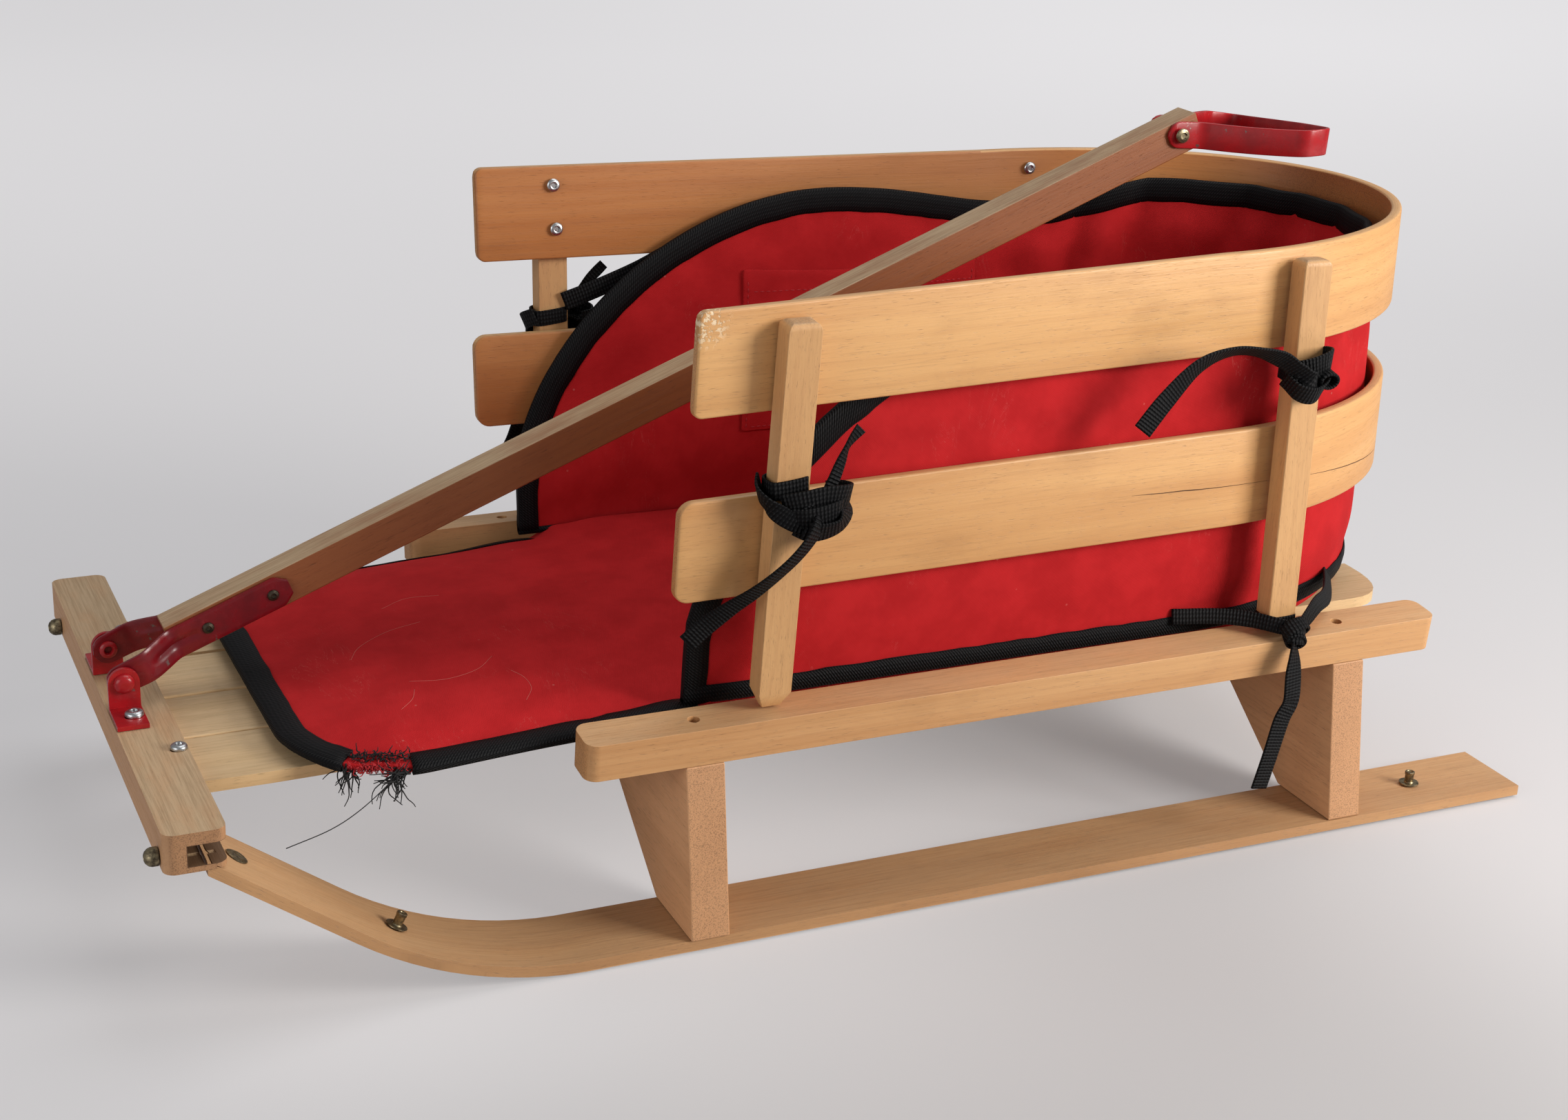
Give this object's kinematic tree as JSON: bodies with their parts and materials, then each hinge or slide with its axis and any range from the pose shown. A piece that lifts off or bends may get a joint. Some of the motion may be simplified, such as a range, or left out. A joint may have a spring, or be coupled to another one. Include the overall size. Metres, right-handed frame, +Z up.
{
  "type": "pull sleigh",
  "caption": "Child's wooden pull sleigh on bent plank runners, with a slatted deck, bentwood side hoops, a padded fabric liner and a hinged tow bar with a steel grip loop.",
  "frame": {"origin": "on the ground, below the middle of the sleigh's length and width", "axes": "+X towards the runner tips and crossbar, +Y to the sleigh's left, +Z up"},
  "size_m": [0.8, 0.37, 0.3867],
  "materials": {
    "wood": "clear varnished light hardwood",
    "weathered_wood": "greyed, worn light hardwood",
    "fabric": "coated red woven fabric over foam",
    "webbing": "black woven webbing",
    "paint": "glossy dark red enamel on sheet steel",
    "zinc": "zinc plated",
    "brass": "dulled yellow plating"
  },
  "bodies": {
    "sleigh": {"bracket_screw_left": "zinc", "bracket_screw_right": "zinc", "crossbar": "weathered_wood", "crossbar_bolt_left": "brass", "crossbar_bolt_right": "brass", "crossbar_screw_left": "zinc", "crossbar_screw_right": "zinc", "deck_slat_1": "wood", "deck_slat_2": "wood", "deck_slat_3": "wood", "deck_slat_4": "wood", "front_bolster": "wood", "hinge_bracket_left": "paint", "hinge_bracket_right": "paint", "liner_wall": "fabric", "lower_hoop": "wood", "lower_hoop_screw_front_left": "zinc", "lower_hoop_screw_front_right": "zinc", "pivot_rivet_left": "paint", "pivot_rivet_right": "paint", "pocket": "fabric", "rear_bolster": "wood", "runner_left": "wood", "runner_right": "wood", "runner_shoe_left": "zinc", "runner_shoe_right": "zinc", "runner_stud_front_left": "brass", "runner_stud_front_right": "brass", "runner_stud_rear_left": "brass", "runner_stud_rear_right": "brass", "runner_tip_rivet_left": "brass", "runner_tip_rivet_right": "brass", "seat_pad": "fabric", "side_rail_left": "wood", "side_rail_right": "wood", "tie_foot_left": "webbing", "tie_foot_right": "webbing", "tie_front_left": "webbing", "tie_front_right": "webbing", "tie_rear_left": "webbing", "tie_rear_right": "webbing", "upper_hoop": "wood", "upper_hoop_screw_front_high_left": "zinc", "upper_hoop_screw_front_high_right": "zinc", "upper_hoop_screw_front_low_left": "zinc", "upper_hoop_screw_front_low_right": "zinc", "upper_hoop_screw_rear_left": "zinc", "upper_hoop_screw_rear_right": "zinc", "upright_front_left": "wood", "upright_front_right": "wood", "upright_rear_left": "wood", "upright_rear_right": "wood"},
    "tow_bar": {"tow_bar": "wood", "tow_strap_left": "paint", "tow_strap_right": "paint", "strap_rivet_front": "brass", "strap_rivet_rear": "brass", "grip_pin": "brass"},
    "grip": {"grip_loop": "paint"}
  },
  "joints": [
    {"name": "tow_bar_hinge", "type": "hinge", "parent": "sleigh", "child": "tow_bar", "pos_m": [0.3845, 0, 0.1258], "axis": [0, 1, 0], "range_deg": [-5.5, 165]},
    {"name": "grip_hinge", "type": "hinge", "parent": "tow_bar", "child": "grip", "pos_m": [-0.23177, 0, 0.37435], "axis": [0, 1, 0], "range_deg": [-132, 188]}
  ]
}
